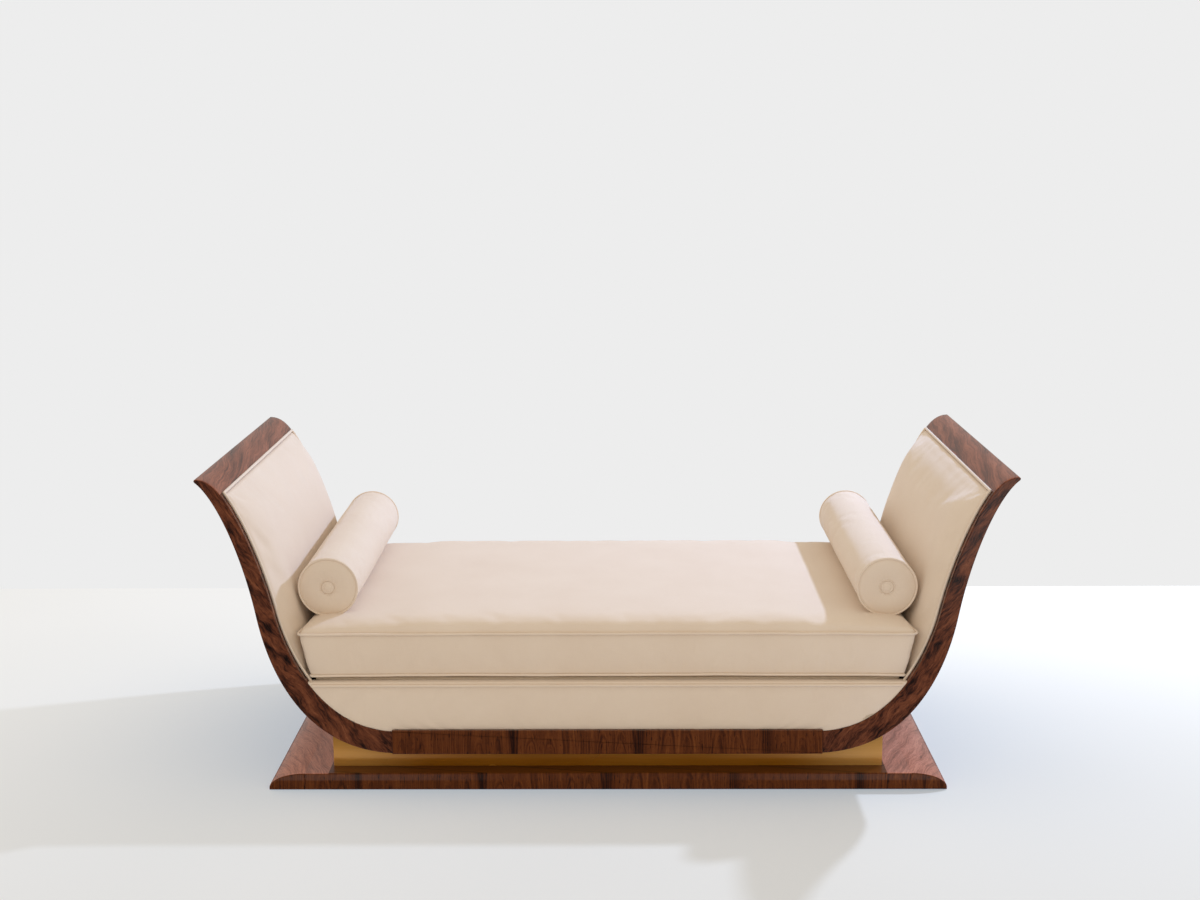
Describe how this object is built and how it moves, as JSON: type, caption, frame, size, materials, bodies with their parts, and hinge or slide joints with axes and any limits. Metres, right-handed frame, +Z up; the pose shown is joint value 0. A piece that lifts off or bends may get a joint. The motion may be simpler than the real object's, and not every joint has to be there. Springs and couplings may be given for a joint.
{
  "type": "recamier",
  "caption": "Low daybed with two flared veneered arms on a stepped plinth, a loose box cushion with welted edges and a round bolster lying at each arm.",
  "frame": {"origin": "on the floor, under the middle of the plinth", "axes": "+X along the length to the right as a person facing the front sees it, +Y from the front to the back, +Z up"},
  "size_m": [2, 0.882, 0.797],
  "materials": {
    "veneer": "high gloss lacquer over reddish brown figured veneer",
    "gold_lacquer": "glossy golden lacquered timber",
    "frame_timber": "plain sawn hardwood and plywood, unseen",
    "steel": "plain steel bolts and screws",
    "upholstery": "smooth cream upholstery cloth with self welts",
    "platform_cloth": "plain cream platform cloth over padding",
    "foam": "foam filling, unseen",
    "webbing": "woven jute webbing, unseen"
  },
  "bodies": {
    "frame": {"plinth_core": "veneer", "plinth_end_left": "veneer", "plinth_end_right": "veneer", "plinth_facing_front": "veneer", "plinth_facing_back": "veneer", "riser_front": "gold_lacquer", "riser_back": "gold_lacquer", "riser_left": "gold_lacquer", "riser_right": "gold_lacquer", "riser_corner_blocks": "frame_timber", "riser_bearers": "frame_timber", "bottom_board": "frame_timber", "apron_front": "veneer", "apron_back": "veneer", "side_frame_front_left": "veneer", "side_frame_front_right": "veneer", "side_frame_back_left": "veneer", "side_frame_back_right": "veneer", "outer_shell_left": "veneer", "outer_shell_right": "veneer", "arm_cap_left": "veneer", "arm_cap_right": "veneer", "arm_board_left": "frame_timber", "arm_board_right": "frame_timber", "arm_ribs_left": "frame_timber", "arm_ribs_right": "frame_timber", "seat_rail_front": "frame_timber", "seat_rail_back": "frame_timber", "end_rail_left": "frame_timber", "end_rail_right": "frame_timber", "cross_rails": "frame_timber", "frame_bolts": "steel", "base_screws": "steel", "panel_board_front": "frame_timber", "panel_board_back": "frame_timber", "panel_cover_front": "upholstery", "panel_cover_back": "upholstery", "panel_welt_front": "upholstery", "panel_welt_back": "upholstery", "webbing_across": "webbing", "webbing_along": "webbing", "seat_deck": "platform_cloth", "arm_pad_left": "upholstery", "arm_pad_right": "upholstery", "arm_welt_left": "upholstery", "arm_welt_right": "upholstery"},
    "seat_cushion": {"cushion_cover": "upholstery", "cushion_core": "foam", "cushion_welt_top": "upholstery", "cushion_welt_bottom": "upholstery"},
    "bolster_left": {"bolster_cover_left": "upholstery", "bolster_core_left": "foam", "bolster_welts_left": "upholstery", "bolster_buttons_left": "upholstery"},
    "bolster_right": {"bolster_cover_right": "upholstery", "bolster_core_right": "foam", "bolster_welts_right": "upholstery", "bolster_buttons_right": "upholstery"}
  },
  "joints": [
    {"name": "cushion_lift", "type": "slide", "parent": "frame", "child": "seat_cushion", "axis": [0, 0, 1], "range_m": [0, 0.55]},
    {"name": "bolster_left_lift", "type": "slide", "parent": "seat_cushion", "child": "bolster_left", "axis": [0, 0, 1], "range_m": [0, 0.4]},
    {"name": "bolster_right_lift", "type": "slide", "parent": "seat_cushion", "child": "bolster_right", "axis": [0, 0, 1], "range_m": [0, 0.4]}
  ]
}
